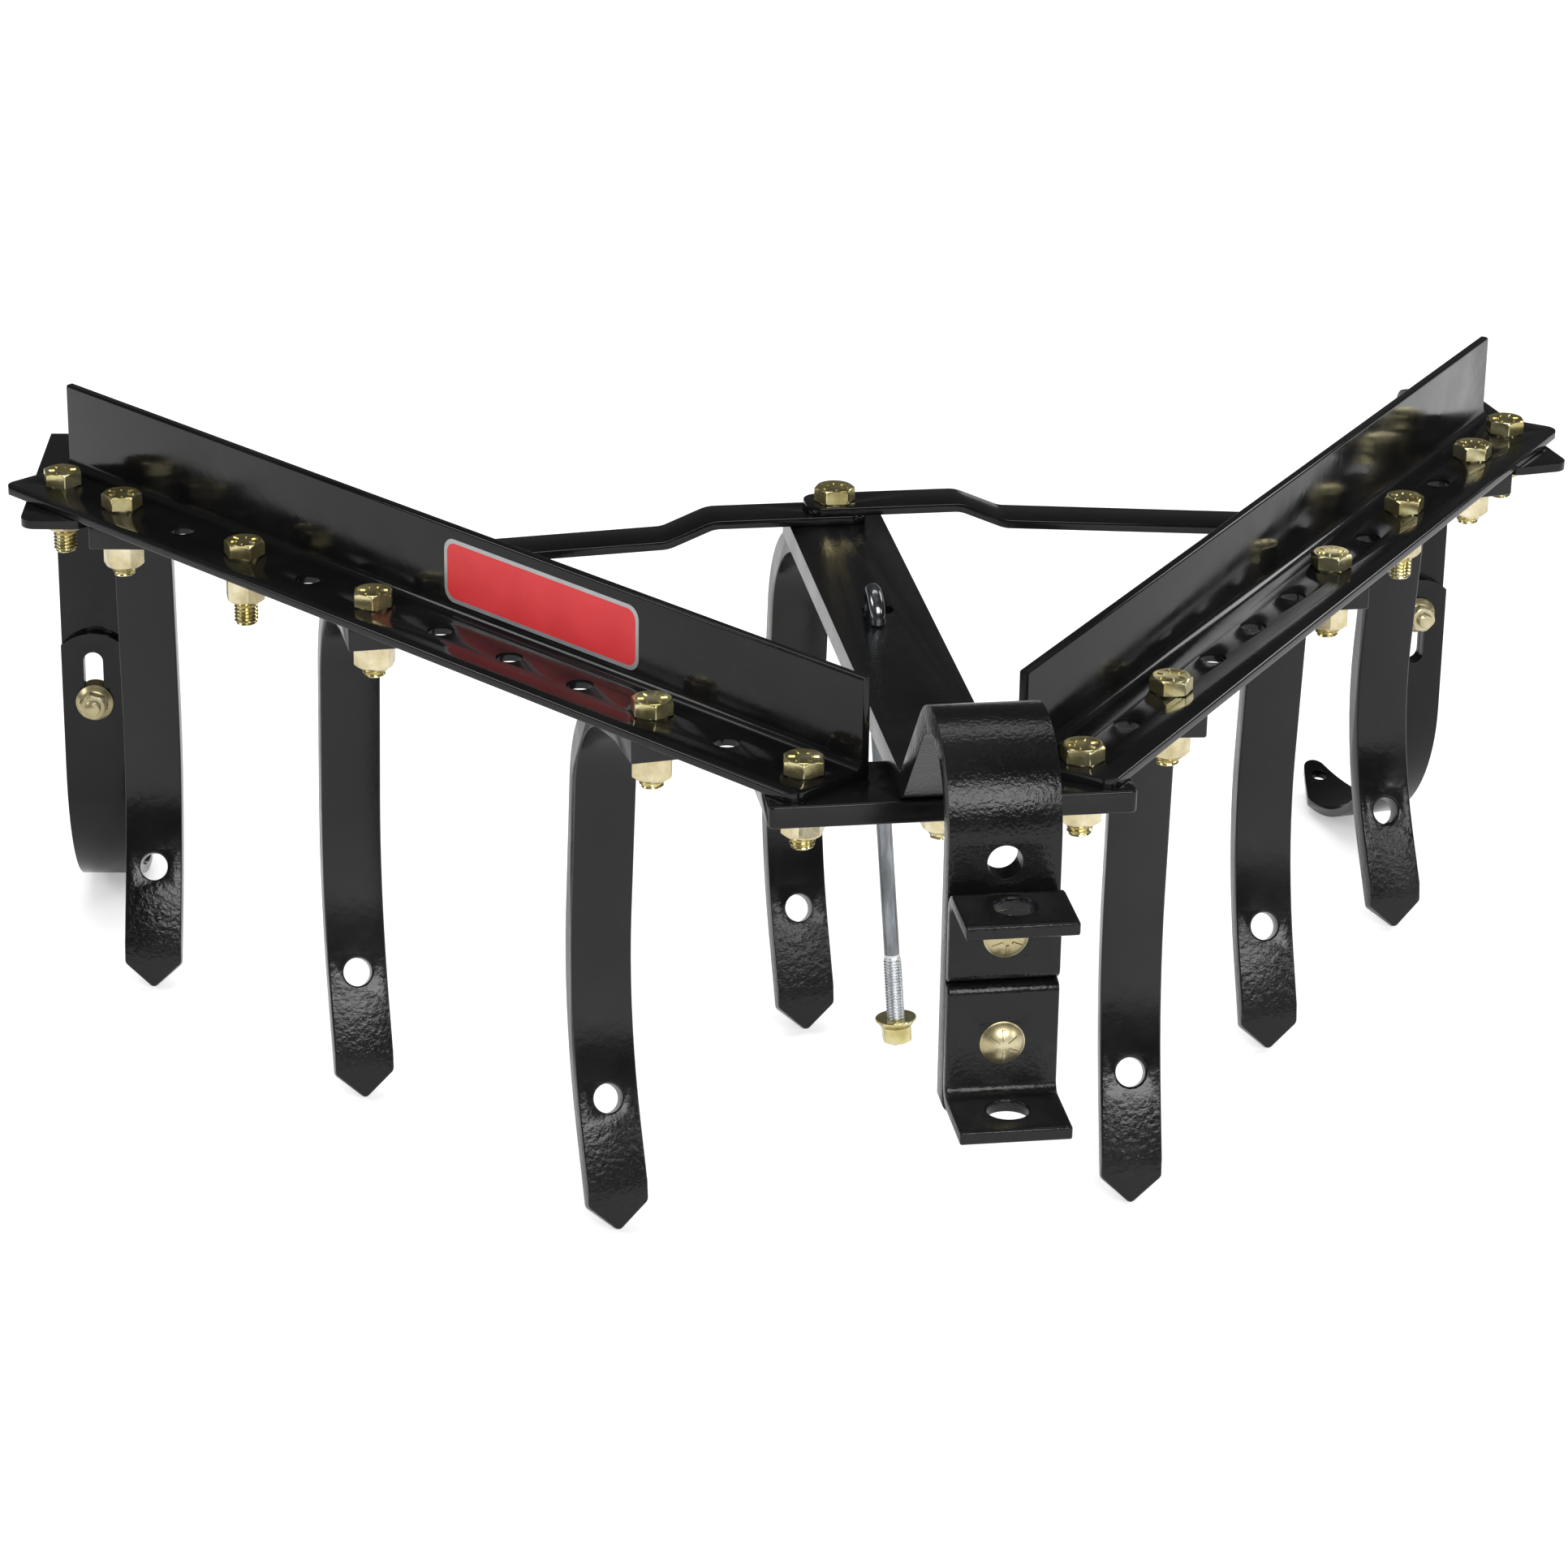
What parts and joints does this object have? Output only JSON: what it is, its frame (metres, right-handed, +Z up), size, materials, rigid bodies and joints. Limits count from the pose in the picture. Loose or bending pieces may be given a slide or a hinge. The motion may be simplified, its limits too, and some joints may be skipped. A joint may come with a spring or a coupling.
{
  "type": "tow-behind cultivator",
  "caption": "V-shaped tow-behind cultivator: hooked tines and two gauge shoes under angle-iron wings, on a hooped drawbar with a pin hitch.",
  "frame": {"origin": "centre of the hitch pin hole, halfway between the outer faces of the two ears", "axes": "+Z up along the hitch pin, +Y rearwards along the drawbar, +X to the right in the picture"},
  "size_m": [0.8624, 0.8762, 0.3829],
  "materials": {
    "black_paint": "satin",
    "yellow_zinc": "satin",
    "clear_zinc": "satin"
  },
  "bodies": {
    "frame": {"drawbar": "black_paint", "wing_plate": "black_paint", "wing_left": "black_paint", "wing_right": "black_paint", "brace_left": "black_paint", "brace_right": "black_paint", "tine_left_outer": "black_paint", "tine_left_middle": "black_paint", "tine_left_inner": "black_paint", "tine_rear_centre": "black_paint", "tine_right_inner": "black_paint", "tine_right_middle": "black_paint", "tine_right_outer": "black_paint", "hitch_ear_upper": "black_paint", "hitch_ear_lower": "black_paint", "shoe_bracket_left": "black_paint", "shoe_bracket_right": "black_paint", "wing_bolts_left": "yellow_zinc", "wing_bolts_right": "yellow_zinc", "wing_nuts_left": "yellow_zinc", "wing_nuts_right": "yellow_zinc", "frame_bolts": "yellow_zinc", "frame_nuts": "yellow_zinc", "hitch_bolts": "yellow_zinc", "hitch_nuts": "yellow_zinc", "shoe_bolts": "yellow_zinc", "shoe_nuts": "yellow_zinc"},
    "shoe_left": {"gauge_shoe_left": "black_paint"},
    "shoe_right": {"gauge_shoe_right": "black_paint"},
    "hook": {"hook_rod": "clear_zinc", "hook_nut": "yellow_zinc"}
  },
  "joints": [
    {"name": "shoe_height_left", "type": "slide", "parent": "frame", "child": "shoe_left", "axis": [0, 0, 1], "range_m": [-0.024, 0.0048]},
    {"name": "shoe_height_right", "type": "slide", "parent": "frame", "child": "shoe_right", "axis": [0, 0, 1], "range_m": [-0.0045, 0.0248]},
    {"name": "hook_swing", "type": "hinge", "parent": "frame", "child": "hook", "pos_m": [0, 0.3535, 0.0564], "axis": [-1, 0, 0], "range_deg": [0, 8]}
  ]
}
